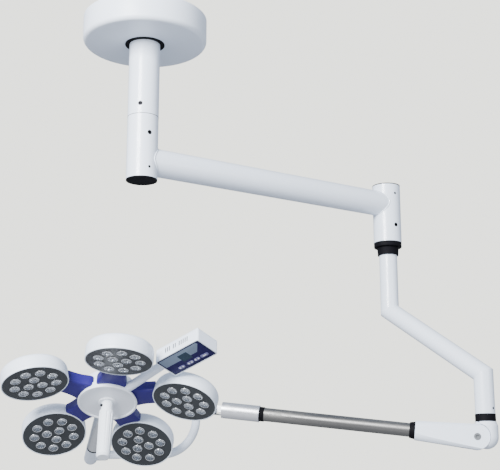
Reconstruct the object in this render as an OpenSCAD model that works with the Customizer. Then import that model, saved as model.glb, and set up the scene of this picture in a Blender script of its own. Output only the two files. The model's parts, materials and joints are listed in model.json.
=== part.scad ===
// Ceiling-mounted operating light: a fixed column, a horizontal first arm, a cranked drop pipe,
// a levelled spring arm, a C-shaped yoke and a lamp head with five petals round a sterile handle.
// Origin: on the column's axis, in the plane of the ceiling. +Z is up, so the lamp hangs below z = 0.

/* [Ceiling mount] */
// Outer diameter of the round canopy
canopy_d = 358; // [345:1:420]
// Height of the canopy
canopy_h = 78; // [60:1:110]
// Diameter of the bolt circle in the ceiling plate
plate_pcd = 280; // [240:5:300]
// Number of ceiling bolts
plate_bolts = 6; // [4:1:8]
// Diameter of each ceiling bolt hole
plate_hole_d = 12; // [9:0.5:14]

/* [Column and first arm] */
// Outside diameter of the column and of both hub sleeves
column_d = 89; // [88:0.5:92]
// Drop from the ceiling to the first arm's hub sleeve
column_drop = 303; // [250:1:600]
// Distance between the two hub axes
arm_len = 885; // [600:5:1200]
// Outside diameter of the first arm's tube
arm_d = 80; // [70:1:84]
// Length of each hub sleeve
hub_len = 185; // [170:1:220]

/* [Drop pipe] */
// Outside diameter of the drop pipe
pipe_d = 57; // [56:0.5:60]
// Sideways offset between the pipe's upper and lower runs
pipe_offset = 341; // [250:1:450]
// Slope of the middle run below the horizontal, in degrees
pipe_slope = 34; // [25:1:50]
// Drop from the second hub sleeve to the upper mitre
pipe_upper_drop = 221; // [160:1:320]
// Length of the lower vertical run
pipe_lower_run = 114; // [100:1:200]

/* [Spring arm] */
// Distance between the spring arm's two tilt pins
boom_len = 778.5; // [700:0.5:900]
// Outside diameter of the steel tube
boom_tube_d = 40; // [39:0.5:42]
// Outside diameter of the bright front sleeve
boom_sleeve_d = 48; // [46:0.5:50]
// Length of the white rear cover, from the rear tilt pin
cover_len = 176; // [150:1:220]

/* [Yoke] */
// Outside diameter of the yoke tube
yoke_d = 25; // [22:0.5:28]
// Centre-line radius of the yoke's bend
yoke_bend_r = 100; // [80:1:100]
// Horizontal reach from the swivel axis to the elbow's centre
yoke_reach = 322.4; // [300:0.1:360]
// Drop from the front tilt pin to the yoke's lower run
yoke_drop = 131.6; // [125:0.1:160]
// Angle between the yoke's lower run and the lamp's stub, in degrees
elbow_angle = 113.4; // [95:0.1:125]
// Distance from the elbow's centre to the lamp head's axis, along the stub
stub_len = 350; // [345:1:360]

/* [Lamp head] */
// Radius of the circle that the petals' centres lie on
petal_ring_r = 213; // [212:1:225]
// Outside radius of one petal casing
petal_r = 90; // [88:0.5:92]
// Depth of one petal casing
petal_depth = 48; // [46:1:50]
// Angle by which each petal leans in towards the lamp's axis
petal_lean = 12.8; // [8:0.1:16]
// Radius of one lens
lens_r = 13.8; // [12:0.1:14]
// Radius of the front dish
dish_r = 82; // [81:0.5:86]
// Overall length of the sterile handle below the dish
handle_len = 172; // [130:1:200]

/* [Control unit] */
// Length of the control box
box_l = 152; // [150:1:156]
// Width of the control box
box_w = 80; // [78:1:86]
// Depth of the control box
box_h = 48; // [42:1:54]
// Distance from the lamp's axis to the near end of the box
box_near = 219; // [216:1:240]

/* [Pose at rest] */
// Heading of the first arm from +X, in degrees
arm_turn = 32.1; // [-165:0.1:165]
// Turn of the drop pipe relative to the first arm
pipe_turn = -78.9; // [-165:0.1:165]
// Turn of the spring arm relative to the drop pipe's crank
boom_turn = -140.9; // [-165:0.1:165]
// Rise of the spring arm above the horizontal
boom_rise = 6.6; // [-45:0.1:20]
// Turn of the yoke relative to the spring arm
yoke_turn = -3.4; // [-135:0.1:38]
// Roll of the elbow about the yoke's lower run
elbow_roll = 30.7; // [-30:0.1:40]
// Roll of the lamp head about its stub
head_roll = 6.9; // [-85:0.1:95]

/* [Hidden] */
$fn = 72;

// Finishes
coat_white = "whitesmoke";
arm_blue = [0.22, 0.26, 0.56];
rubber_black = [0.1, 0.1, 0.12];
face_grey = [0.36, 0.4, 0.42];
bright_steel = "silver";
dark_steel = [0.5, 0.5, 0.49];

// Clearances
gap = 0.3;       // between faces on parts that move past each other
run_fit = 0.05;  // radial clearance of a shaft in its bush
slip = 0.1;      // between a fixed piece and the piece it sits in
over = 1;        // how far a cutter runs past the face that it cuts
half_side = 2000; // size of the blocks that cut the mitres
weld = 0.02;     // how far two runs of the pipe sink into each other at a mitre

// Column and hubs
column_r = column_d / 2;
tube_wall = 4;
bore_r = column_r - tube_wall;
plate_t = 10;
plate_r = 165;
cable_hole_r = 24;
canopy_wall = 2.5;
canopy_edge_r = 14;
canopy_hole_r = 57;
journal_r = 30;
journal_bore_r = 22;
bush_len = 16;
thrust_r = 36;
thrust_t = 7;
cap_t = 3.5;
hub1_top = -column_drop;
hub1_low = hub1_top - hub_len;
arm_below_top = 128;   // the arm tube's axis below the top of hub 1
arm_z = hub1_top - arm_below_top;
hub2_top = arm_z + 60;
hub2_low = hub2_top - hub_len - 3;
screw_r = 6.5;
small_screw_r = 4;

// Drop pipe
pipe_r = pipe_d / 2;
pipe_wall = 3.5;
pipe_top = hub2_low - 16;
mitre1 = [0, hub2_low - pipe_upper_drop];
mitre2 = [pipe_offset, mitre1[1] - pipe_offset * tan(pipe_slope)];
pipe_low = mitre2[1] - pipe_lower_run;
mitre_tilt = -(90 + pipe_slope) / 2;
slope_len = pipe_offset / cos(pipe_slope);

// Knuckle and spring arm
ring_h = 22;
knuckle_top = pipe_low - gap - ring_h;
knuckle_r = 34.5;
knuckle_spindle_r = 18;
spindle_seat = 10.5;   // depth of the spindle's seat in the knuckle
pivot_x = 27;
pivot_z = knuckle_top - 43;
tongue_half = 14;
tongue_r = 32;
cover_r = 36;
cover_front_h = 27;
cover_half = 28.5;
cover_wall = 3;
cheek_in = 15;
fork_x = 42;
web_end = 58;
tilt_pin_r = 8;
pin_head_r = 10;
rod_drop = 14;
boom_r = boom_tube_d / 2;
boom_bore_r = boom_r - 2;
tube_from = 100;
rear_ring_len = 16;
front_ring_at = 618;
front_ring_len = 14;
sleeve_at = front_ring_at + front_ring_len;
sleeve_end = boom_len - 34;
spring_up = 4;
spring_r = 8;
spring_rod_r = 3.5;
wire_r = 1.2;
spring_turns = 36;
spring_from = 120;
spring_to = 560;

// Front knuckle, yoke and elbow
swivel_x = 45;
barrel_r = 26;
barrel_up = 24;
barrel_down = 18;
ear_in = 9.3;
ear_out = 20;
front_pin_r = 6;
yoke_r = yoke_d / 2;
yoke_wall = 2.5;
stub_r = 20;
stub_back = 44;
elbow_leg = 44;
elbow_tail = 24;
stub_ring_w = 5;

// Lamp head
petals = 5;
petal_step = 360 / petals;
petal_front = 12.5;
casing_wall = 3;
casing_edge_r = 22;
face_r = petal_r - casing_wall - slip;
outer_lenses = 9;
inner_lenses = 3;
outer_lens_ring = 56;
inner_lens_ring = 21;
dome_h = 5;
drum_r = 78;
drum_deep = 22;
hub_r = 72;
hub_deep = 68;
arm_w = 66;
arm_thick = 34;
arm_lift = 10;
spigot_r = 12;
neck_r = 16;
neck_len = 30;
grip_r = 20;
latch_at = -65;
latch_z = -14;
latch_r = 3.5;

// Control unit
box_size = [box_l, box_w, box_h];
stalk_turn = petal_step / 2;
stalk_r = 12.5;
panel_z = 9;
panel_size = [146.8, 74.8, 3];
key_y = 21.5;
key_x = [-36, -5, 19, 45];
key_len = [22, 22, 19, 26];
key_w = 10;
key_proud = 1.2;
vent_x = [for (g = [[-38, 3], [-10, 2], [11, 5]]) for (i = [0 : g[1] - 1]) g[0] + 7 * i];

// ---------- Frames of the moving parts, each one nested in the one before ----------
module at_arm() rotate([0, 0, arm_turn]) children();
module at_hub2() at_arm() translate([arm_len, 0, 0]) children();
module at_pipe() at_hub2() rotate([0, 0, pipe_turn]) children();
module at_knuckle() at_pipe() translate([pipe_offset, 0, 0]) rotate([0, 0, boom_turn]) children();
module at_pivot() at_knuckle() translate([pivot_x, 0, pivot_z]) children();
module at_boom() at_pivot() rotate([0, -boom_rise, 0]) children();
module at_front() at_boom() translate([boom_len, 0, 0]) rotate([0, boom_rise, 0]) children();
module at_yoke() at_front() translate([swivel_x, 0, 0]) rotate([0, 0, yoke_turn]) children();
module at_elbow()
    at_yoke() translate([yoke_reach, 0, -yoke_drop]) rotate([elbow_roll, 0, 0]) children();
module at_stub() at_elbow() rotate([0, 0, elbow_angle]) children();
module at_head()
    at_stub() rotate([head_roll, 0, 0]) translate([stub_len, 0, -stub_back]) children();
module at_petal(i)
    at_head() rotate([0, 0, i * petal_step]) translate([petal_ring_r, 0, -petal_front])
        rotate([0, petal_lean, 0]) children();
module at_box()
    at_head() rotate([0, 0, stalk_turn]) translate([box_near + box_size[0] / 2, 0, panel_z])
        children();

// ---------- Shared shapes ----------
module ring(r_out, r_in, low, high)
    translate([0, 0, low]) difference() {
        cylinder(h = high - low, r = r_out);
        translate([0, 0, -over]) cylinder(h = high - low + 2 * over, r = r_in);
    }

module rod(r, low, high) translate([0, 0, low]) cylinder(h = high - low, r = r);

// Lays a shape drawn along Z along +X
module along_x() rotate([0, 90, 0]) children();

// Lays a shape drawn along Z along the tilt pins' direction
module along_y() rotate([-90, 0, 0]) children();

// Half outline of a disc whose upper outer edge is rounded
module disc_outline(r, h, edge) {
    square([r - edge, h]);
    square([r, h - edge]);
    translate([r - edge, h - edge]) circle(edge);
}

module rounded_rect(l, w, r) {
    square([l - 2 * r, w], center = true);
    square([l, w - 2 * r], center = true);
    for (x = [-1, 1], y = [-1, 1]) translate([x * (l / 2 - r), y * (w / 2 - r)]) circle(r);
}

module oval(l, w) {
    square([l - w, w], center = true);
    for (s = [-1, 1]) translate([s * (l - w) / 2, 0]) circle(w / 2);
}

// A socket-head screw seated flush in a wall, pointing outward at heading az and height z
module socket_screw(az, z, r, r_in, r_out)
    rotate([0, 0, az]) translate([0, 0, z]) along_x() difference() {
        rod(r, r_in, r_out);
        translate([0, 0, r_out - 2.5]) cylinder(h = 4, r = r * 0.55, $fn = 6);
    }

module screw_hole(az, z, r)
    rotate([0, 0, az]) translate([bore_r - 3, 0, z]) along_x() cylinder(h = 12, r = r + slip);

// ---------- Fixed column ----------
module ceiling_plate() color(bright_steel) difference() {
    rod(plate_r, -plate_t, 0);
    rod(cable_hole_r, -plate_t - over, over);
    for (i = [0 : plate_bolts - 1]) rotate([0, 0, (i + 0.5) * 360 / plate_bolts])
        translate([plate_pcd / 2, 0, 0]) rod(plate_hole_d / 2, -plate_t - over, over);
}

module canopy() color(coat_white) rotate_extrude() mirror([0, 1]) difference() {
    translate([0, over]) disc_outline(canopy_d / 2, canopy_h - over, canopy_edge_r);
    translate([0, -over]) disc_outline(
        canopy_d / 2 - canopy_wall, canopy_h - canopy_wall + over, canopy_edge_r - canopy_wall);
    square([canopy_hole_r, canopy_h + over]);
}

module canopy_seal() color(rubber_black) {
    ring(canopy_hole_r - slip, column_r + slip, -canopy_h - 1.5, -canopy_h + canopy_wall);
    ring(canopy_hole_r + 4, column_r + slip, -canopy_h + canopy_wall, -canopy_h + 6);
}

module down_tube() color(coat_white) difference() {
    ring(column_r, bore_r, hub1_top, -plate_t);
    for (i = [0 : 2]) screw_hole(-96 + i * 120, hub1_top + 29, screw_r);
}

module column_spindle() color(dark_steel) difference() {
    union() {
        rod(bore_r - slip, hub1_top + gap, hub1_top + 52);
        rod(journal_r, hub1_low + 12, hub1_top + gap);
        rod(thrust_r, hub1_low + 12 - thrust_t, hub1_low + 12);
    }
    rod(journal_bore_r, hub1_low, hub1_top + 60);
    for (i = [0 : 2]) rotate([0, 0, -96 + i * 120]) translate([bore_r - 8, 0, hub1_top + 29])
        along_x() cylinder(h = 10, r = screw_r + slip);
}

module column_screws() color(dark_steel)
    for (i = [0 : 2]) socket_screw(-96 + i * 120, hub1_top + 29, screw_r, bore_r - 6, column_r - 0.8);

// ---------- First arm ----------
module first_arm() color(coat_white) at_arm() difference() {
    union() {
        rod(column_r, hub1_low, hub1_top - gap);
        translate([0, 0, arm_z]) along_x() rod(arm_d / 2, 0, arm_len);
        translate([arm_len, 0, 0]) rod(column_r, hub2_low, hub2_top);
    }
    rod(bore_r, hub1_low - over, hub1_top + over);
    translate([arm_len, 0, 0]) rod(bore_r, hub2_low - over, hub2_top + over);
    translate([0, 0, arm_z]) along_x() rod(arm_d / 2 - 3, bore_r + 2, arm_len - bore_r - 2);
    // wiring passes from each hub's bore into the arm through a round window
    translate([0, 0, arm_z]) along_x() rotate([0, 0, 45]) rod(20, 10, arm_len - 10);
    screw_hole(-90, hub1_top - 56, screw_r);
    screw_hole(-88, hub1_low + 28, small_screw_r);
    translate([arm_len, 0, 0]) {
        screw_hole(-90, hub2_top - 30, small_screw_r);
        screw_hole(-90, hub2_low + 53, screw_r);
    }
}

module bush_pair(low, high, r_in) {
    ring(bore_r - slip, r_in, low, low + bush_len);
    ring(bore_r - slip, r_in, high - bush_len, high);
}

module arm_bushes() color("peru") at_arm() {
    bush_pair(hub1_low + 12.5, hub1_top - 5, journal_r + run_fit);
    translate([arm_len, 0, 0]) bush_pair(hub2_low + 6, hub2_top - 14.5, journal_r + run_fit);
}

module hub_caps() color(rubber_black) at_arm() {
    rod(column_r - 0.2, hub1_low - cap_t, hub1_low);
    ring(bore_r - slip, bore_r - 4, hub1_low, hub1_low + 4);
    translate([arm_len, 0, 0]) {
        rod(column_r + 0.2, hub2_top, hub2_top + 3);
        ring(bore_r - slip, bore_r - 4, hub2_top - 5, hub2_top);
    }
}

module arm_screws() color(dark_steel) at_arm() {
    socket_screw(-90, hub1_top - 56, screw_r, bore_r - 4, column_r - 0.8);
    socket_screw(-88, hub1_low + 28, small_screw_r, bore_r + 0.5, column_r - 0.6);
    translate([arm_len, 0, 0]) {
        socket_screw(-90, hub2_top - 30, small_screw_r, bore_r + 0.5, column_r - 0.6);
        socket_screw(-90, hub2_low + 53, screw_r, bore_r - 4, column_r - 0.8);
    }
}

// ---------- Drop pipe ----------
// Block that fills the space behind a plane through p, whose normal leans by tilt in the XZ plane
module behind(p, tilt, back = 0)
    translate([p[0], 0, p[1]]) rotate([0, -tilt, 0])
        translate([-half_side - back, -half_side / 2, -half_side / 2]) cube(half_side);

// The two mitred elbows and three straight runs, as one solid rod of radius r; each run is turned
// a quarter about its own axis, so that its seam stays clear of the mitres
module cranked_rod(r, extra = 0) {
    intersection() {
        rotate([0, 0, 90]) rod(r, mitre1[1] - 2 * r, pipe_top + extra);
        behind(mitre1, mitre_tilt);
    }
    difference() {
        translate([mitre1[0], 0, mitre1[1]]) rotate([0, 90 + pipe_slope, 0])
            rotate([0, 0, 90]) rod(r, -2 * r, slope_len + 2 * r);
        behind(mitre1, mitre_tilt, weld);
        behind(mitre2, mitre_tilt + 180, weld);
    }
    intersection() {
        translate([pipe_offset, 0, 0]) rotate([0, 0, 90]) rod(r, pipe_low - extra, mitre2[1] + 2 * r);
        behind(mitre2, mitre_tilt + 180);
    }
}

module drop_pipe() color(coat_white) at_pipe() difference() {
    cranked_rod(pipe_r);
    cranked_rod(pipe_r - pipe_wall, extra = over);
    translate([pipe_offset + pipe_r - 6, 0, pipe_low + 15]) along_x()
        cylinder(h = 12, r = small_screw_r + slip);
}

module pipe_screw() color(dark_steel) at_pipe() translate([pipe_offset, 0, 0])
    socket_screw(0, pipe_low + 15, small_screw_r, pipe_r - pipe_wall + 0.2, pipe_r - 0.6);

// Flared rubber boot that closes the underside of the second hub
module pipe_boot() color(rubber_black) at_pipe() translate([0, 0, hub2_low - gap]) difference() {
    union() {
        rotate_extrude() mirror([0, 1]) disc_outline(column_r - 0.2, 15.5, 2.5);
        translate([0, 0, -41]) cylinder(h = 30, r1 = 33, r2 = 35);
    }
    rod(pipe_r + slip, -50, 10);
}

module pipe_spindle() color(dark_steel) at_pipe() difference() {
    union() {
        rod(pipe_r - pipe_wall - slip, hub2_low - 60, hub2_low - 16);
        rod(pipe_r - slip, hub2_low - 16, hub2_low - gap);
        rod(journal_r, hub2_low - gap, hub2_top - 14);
        rod(thrust_r, hub2_top - 14, hub2_top - 7);
    }
    rod(16, hub2_low - 80, hub2_top);
}

module pipe_bushes() color("peru") at_pipe() translate([pipe_offset, 0, 0]) {
    ring(pipe_r - pipe_wall - slip, knuckle_spindle_r + run_fit, pipe_low, pipe_low + 9);
    ring(pipe_r - pipe_wall - slip, knuckle_spindle_r + run_fit, pipe_low + 24, pipe_low + 40);
}

// ---------- Knuckle under the drop pipe ----------
module knuckle_ring() color(rubber_black) at_knuckle()
    ring(pipe_r + 1.2, knuckle_spindle_r + slip, knuckle_top, knuckle_top + ring_h);

module knuckle_spindle() color(dark_steel) at_knuckle() difference() {
    union() {
        rod(knuckle_spindle_r, knuckle_top - spindle_seat, pipe_low + 41);
        rod(23, pipe_low + 41, pipe_low + 48);
    }
    rod(10, knuckle_top - 21, pipe_low + 50);
}

module knuckle() color(coat_white) difference() {
    at_knuckle() {
        rod(knuckle_r, pivot_z, knuckle_top - 12);
        translate([0, 0, pivot_z]) sphere(knuckle_r);
        translate([0, 0, knuckle_top - 12]) cylinder(h = 12, r1 = knuckle_r, r2 = pipe_r + 1.6);
        translate([pivot_x, 0, pivot_z]) along_y()
            cylinder(h = 2 * tongue_half, r = tongue_r, center = true);
    }
    // recesses for the cover's two round cheeks, and the room that they sweep when the arm rises
    at_pivot() for (side = [-1, 1]) {
        translate([0, side * (tongue_half + gap + 30), 0]) along_y()
            cylinder(h = 60, r = cover_r + 1, center = true);
        translate([-8, side * (tongue_half + gap + 30) - 30, -60]) cube([60, 60, 120]);
    }
    at_pivot() {
        along_y() cylinder(h = 80, r = tilt_pin_r + run_fit, center = true);
        translate([0, 0, -rod_drop]) along_y() cylinder(h = 80, r = 2 + run_fit, center = true);
        // slot that lets the levelling rod swing with the arm
        translate([0, 3.2, 0]) rotate([90, 0, 0]) linear_extrude(6.4)
            polygon([[-5, -9.5], [4, -9.5], [44, 8], [44, -60], [-5, -60]]);
    }
    at_knuckle() rod(knuckle_spindle_r + slip, knuckle_top - spindle_seat, knuckle_top + over);
}

// ---------- Spring arm ----------
module side_slab(half) translate([0, half, 0]) rotate([90, 0, 0]) linear_extrude(2 * half) children();

// Block that tapers from a round end of radius r at the pin to a flat end of half height h
module taper_block(half, r, h, l) {
    a = atan2(h, l) + acos(r / norm([l, h]));
    q = r - 0.2;
    along_y() cylinder(h = 2 * half, r = r, center = true);
    side_slab(half)
        polygon([[q * cos(a), q * sin(a)], [l, h], [l, -h], [q * cos(a), -q * sin(a)]]);
}

module rear_cover() color(coat_white) at_boom() difference() {
    intersection() {
        taper_block(cover_half, cover_r, cover_front_h, cover_len);
        translate([-60, 0, 0]) along_x() cylinder(h = cover_len + 60, r1 = 46, r2 = 29.5);
    }
    intersection() {
        taper_block(cover_half - cover_wall, cover_r - cover_wall,
            cover_front_h - cover_wall, cover_len - 6);
        translate([-60, 0, 0]) along_x() cylinder(h = cover_len + 60, r1 = 43, r2 = 26.5);
    }
    side_slab(cheek_in) translate([-60, -60]) square([60 + fork_x, 120]);
    along_x() rod(boom_r + slip, cover_len - 12, cover_len + over);
    along_y() cylinder(h = 80, r = pin_head_r + slip, center = true);
}

// Cast fork inside the cover: two cheeks on the tilt pin and a socket for the tube
module rear_bracket() color("gainsboro") at_boom() difference() {
    intersection() {
        union() {
            taper_block(cover_half - cover_wall - gap, cover_r - cover_wall - gap, 20, 110);
            along_x() rod(23.4, 60, cover_len - 8);
        }
        translate([-60, 0, 0]) along_x()
            cylinder(h = cover_len + 60, r1 = 43 - gap, r2 = 26.5 - gap);
    }
    side_slab(cheek_in) translate([-60, -60]) square([60 + fork_x, 120]);
    along_x() rod(boom_bore_r, web_end, tube_from + over);
    along_x() rod(boom_r + slip, tube_from, cover_len + over);
    translate([0, 0, spring_up]) along_x() rod(spring_rod_r + slip, fork_x - over, web_end + over);
    translate([fork_x - over, -4, -18]) cube([web_end - fork_x + 2 * over, 8, 12.5]);
    along_y() cylinder(h = 80, r = tilt_pin_r + slip, center = true);
}

module tilt_pin() color(dark_steel) at_boom() along_y() difference() {
    union() {
        cylinder(h = 2 * cover_half - 5, r = tilt_pin_r, center = true);
        for (s = [0, 180]) rotate([s, 0, 0]) rod(pin_head_r, cover_half - cover_wall, cover_half + 1);
    }
    for (s = [0, 180]) rotate([s, 0, 0]) translate([0, 0, cover_half - 3])
        cylinder(h = 5, r = 5.2, $fn = 6);
}

module boom_tube() color(dark_steel) at_boom() along_x()
    ring(boom_r, boom_bore_r, tube_from, sleeve_at + 40);

module boom_rings() color(rubber_black) at_boom() along_x() {
    difference() {
        translate([0, 0, cover_len + slip]) cylinder(h = rear_ring_len, r1 = 25.5, r2 = 22.5);
        rod(boom_r + slip, cover_len - over, cover_len + rear_ring_len + 2 * over);
    }
    ring(boom_r + 1.5, boom_r + slip, front_ring_at, sleeve_at - slip);
}

// Bright front sleeve with a tongue that the front knuckle's two ears hold on the front pin
module boom_sleeve() color(bright_steel) at_boom() difference() {
    union() {
        along_x() rod(boom_sleeve_d / 2, sleeve_at, sleeve_end);
        translate([sleeve_end - over, -9, -7.5]) cube([boom_len - sleeve_end + over, 18, 19]);
        translate([boom_len, 0, 0]) along_y() cylinder(h = 18, r = 11.5, center = true);
    }
    along_x() rod(boom_r + slip, sleeve_at - over, sleeve_at + 40 + slip);
    along_x() rod(boom_bore_r, sleeve_at + 40, sleeve_end - 12);
    translate([sleeve_end - 20, -3.2, -30]) cube([80, 6.4, 25]);
    translate([boom_len, 0, 0]) along_y() cylinder(h = 30, r = front_pin_r + slip, center = true);
}

// Wound wire: one closed tube of six sides swept round the helix
module balance_spring() color(bright_steel) at_boom() {
    sides = 6;
    steps = 12 * spring_turns;
    rise = (spring_to - spring_from) / steps;
    rings = [for (k = [0 : steps]) for (j = [0 : sides - 1])
        let (a = k * 30, b = j * 360 / sides, r = spring_r + wire_r * cos(b))
        [spring_from + k * rise + wire_r * sin(b), r * cos(a), spring_up + r * sin(a)]];
    walls = [for (k = [0 : steps - 1]) for (j = [0 : sides - 1])
        let (a = k * sides + j, b = k * sides + (j + 1) % sides)
        for (face = [[a, b, b + sides], [a, b + sides, a + sides]]) face];
    ends = [[for (j = [sides - 1 : -1 : 0]) j], [for (j = [0 : sides - 1]) steps * sides + j]];
    polyhedron(rings, concat(walls, ends), convexity = 10);
}

module spring_rod() color(dark_steel) at_boom() translate([0, 0, spring_up]) along_x() {
    translate([0, 0, fork_x - 6]) cylinder(h = 5.7, r = 6.5, $fn = 6);
    rod(spring_rod_r, fork_x - 6, spring_to + 30);
    rod(9, spring_from - 8, spring_from - 2);
    rod(9, spring_to + 2, spring_to + 8);
    translate([0, 0, spring_to + 8]) cylinder(h = 8, r = 6.5, $fn = 6);
}

module front_pin() color(dark_steel) at_boom() translate([boom_len, 0, 0]) along_y()
    cylinder(h = 2 * ear_out + 4, r = front_pin_r, center = true);

// Rod that keeps the front knuckle level: it stays parallel to the arm below the two tilt pins
module levelling_rod() color(dark_steel) at_pivot() translate([0, 0, -rod_drop])
    rotate([0, -boom_rise, 0]) {
        along_x() rod(2.5, 0, boom_len);
        along_y() cylinder(h = 26, r = 2, center = true);
        for (x = [0, boom_len]) translate([x, 0, 0]) along_y()
            cylinder(h = 5, r = 4, center = true);
    }

// ---------- Front knuckle and yoke ----------
module front_knuckle() color(coat_white) at_front() difference() {
    union() {
        translate([swivel_x, 0, 0]) rod(barrel_r, -barrel_down, barrel_up);
        along_y() cylinder(h = 2 * ear_out, r = 17.5, center = true);
        translate([0, -ear_out, -17.5]) cube([swivel_x - 12, 2 * ear_out, 35]);
    }
    translate([-20, -ear_in, -30]) cube([20 + 17.5, 2 * ear_in, 60]);
    translate([swivel_x, 0, 0]) rod(yoke_r + run_fit, -barrel_down - over, barrel_up - 6);
    along_y() cylinder(h = 60, r = front_pin_r + run_fit, center = true);
    translate([0, 0, -rod_drop]) along_y() cylinder(h = 60, r = 2 + run_fit, center = true);
}

module yoke_tube() color(coat_white) at_yoke() difference() {
    yoke_path(yoke_r, over = 0);
    yoke_path(yoke_r - yoke_wall, over = over);
}

module yoke_path(r, over) {
    run_end = yoke_reach - elbow_leg - stub_ring_w - gap;
    rod(r, yoke_bend_r - yoke_drop, barrel_up - 7 + over);
    translate([yoke_bend_r, 0, yoke_bend_r - yoke_drop]) rotate([90, 0, 0]) rotate([0, 0, 180])
        rotate_extrude(angle = 90) translate([yoke_bend_r, 0]) circle(r);
    translate([0, 0, -yoke_drop]) along_x() rod(r, yoke_bend_r, run_end + over);
}

module yoke_ring() color(rubber_black) at_yoke()
    ring(yoke_r + 5, yoke_r + slip, -barrel_down - gap - 5, -barrel_down - gap);

// Block that joins the yoke's run to the stub: one leg along each axis, with a journal that turns
// in the yoke tube's bore
module elbow() color(coat_white) difference() {
    union() {
        at_stub() along_x() rod(stub_r, -elbow_tail + 6, elbow_leg);
        at_stub() translate([-elbow_tail + 6, 0, 0]) sphere(stub_r);
        at_elbow() mirror([1, 0, 0]) along_x() {
            rod(17, 0, elbow_leg);
            rod(yoke_r - yoke_wall - run_fit, 0, elbow_leg + 45);
        }
    }
    at_stub() along_x() rod(stub_r - 8 + slip, 6, elbow_leg + over);
}

module elbow_ring() color(rubber_black) at_elbow() mirror([1, 0, 0]) along_x()
    ring(16, yoke_r - yoke_wall + slip, elbow_leg, elbow_leg + stub_ring_w);

// Hardened shaft fixed in the elbow, on which the lamp head rolls
module stub_spindle() color(dark_steel) at_stub() along_x() rod(stub_r - 8, 6.5, 150);

// ---------- Lamp head ----------
module stub_sleeve() color("gainsboro") at_head() difference() {
    translate([-stub_len, 0, stub_back]) along_x()
        ring(stub_r, stub_r - 8 + run_fit, elbow_leg + stub_ring_w + 2 * gap, stub_len - hub_r + 12);
    rod(hub_r + slip, -50, 150);
    rod(drum_r + slip, -50, drum_deep + slip);
}

module stub_ring() color(rubber_black) at_head() translate([-stub_len, 0, stub_back]) along_x()
    ring(stub_r + 0.4, stub_r - 8 + 0.2, elbow_leg + gap, elbow_leg + stub_ring_w + gap);

module hub_drum() color(coat_white) at_head() rotate_extrude() difference() {
    union() {
        translate([0, 4]) square([drum_r, drum_deep - 4]);
        disc_outline(hub_r, hub_deep, 14);
    }
    translate([0, -over]) disc_outline(hub_r - 3, hub_deep - 3 + over, 11);
    translate([0, -over]) square([drum_r + 10, 5 + slip]);
}

// Shallow front dish with a raised rim and a bush that carries the handle
module hub_dish() color("white") at_head() difference() {
    union() {
        rod(dish_r, 0, 4);
        ring(dish_r, dish_r - 3, -1.6, 0.5);
        rod(24, -1, 1);
        rod(20, 3, 26);
    }
    rod(spigot_r + run_fit, -over - 1, 27);
    rotate_extrude() difference() {
        translate([25, -over - 1]) square([dish_r - 31, 4]);
        translate([0, 2]) square([dish_r, 10]);
    }
}

module petal_arms() color(arm_blue) difference() {
    for (i = [0 : petals - 1]) at_head() rotate([0, 0, i * petal_step])
        translate([hub_r - 10, 0, arm_lift + arm_thick / 2]) rotate([90, 0, 90])
            linear_extrude(petal_ring_r - hub_r) rounded_rect(arm_w, arm_thick, 9);
    at_head() rod(hub_r + slip, -50, 150);
    at_head() rod(drum_r + slip, -50, drum_deep + slip);
    for (i = [0 : petals - 1]) at_petal(i) rod(petal_r + slip, -20, petal_depth + 40);
    // hollow that the bright sleeve lies in
    at_head() translate([-stub_len, 0, stub_back]) along_x() rod(stub_r + gap, 100, stub_len);
}

module petal_casing(i) color(coat_white) at_petal(i) difference() {
    rotate_extrude() difference() {
        disc_outline(petal_r, petal_depth, casing_edge_r);
        translate([0, -over]) disc_outline(
            petal_r - casing_wall, petal_depth - casing_wall + over, casing_edge_r - casing_wall);
    }
}

module lens_places() {
    for (k = [0 : outer_lenses - 1]) rotate([0, 0, k * 360 / outer_lenses])
        translate([outer_lens_ring, 0, 0]) children();
    for (k = [0 : inner_lenses - 1]) rotate([0, 0, 60 + k * 360 / inner_lenses])
        translate([inner_lens_ring, 0, 0]) children();
}

module petal_face(i) color(face_grey) at_petal(i) difference() {
    rod(face_r, 1, 4);
    lens_places() rod(lens_r + slip, 0, 5);
}

module lens() {
    dome_r = (lens_r * lens_r + dome_h * dome_h) / (2 * dome_h);
    rod(lens_r, 1, 5);
    intersection() {
        translate([0, 0, 1 + dome_r - dome_h]) sphere(dome_r);
        rod(lens_r, 1 - dome_h - over, 1);
    }
}

module lenses() color([0.85, 0.9, 0.93]) for (i = [0 : petals - 1]) at_petal(i) lens_places() lens();

module led_boards() color("darkseagreen") for (i = [0 : petals - 1]) at_petal(i) {
    rod(face_r, 18, 22);
    lens_places() rod(4, 14, 18);
}

// ---------- Control unit ----------
module control_stalk() color(coat_white) at_head() difference() {
    rotate([0, 0, stalk_turn]) translate([60, 0, 13]) rotate([0, 84, 0])
        ring(stalk_r, stalk_r - 2, 0, box_near - 59 + slip);
    rod(hub_r + slip, -50, 150);
    rod(drum_r + slip, -50, drum_deep + slip);
    rod(dish_r + slip, -50, 4 + slip);
    rotate([0, 0, stalk_turn]) translate([box_near - slip, -50, -50]) cube([100, 100, 150]);
}

module box_block(size, edge, corner) intersection() {
    linear_extrude(size[2]) rounded_rect(size[0], size[1], corner);
    rotate([90, 0, 0]) translate([0, 0, -size[1]]) linear_extrude(2 * size[1]) for (s = [0, 1])
        mirror([s, 0]) disc_outline(size[0] / 2, size[2], edge);
    rotate([90, 0, 90]) translate([0, 0, -size[0]]) linear_extrude(2 * size[0]) for (s = [0, 1])
        mirror([s, 0]) disc_outline(size[1] / 2, size[2], edge);
}

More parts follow.
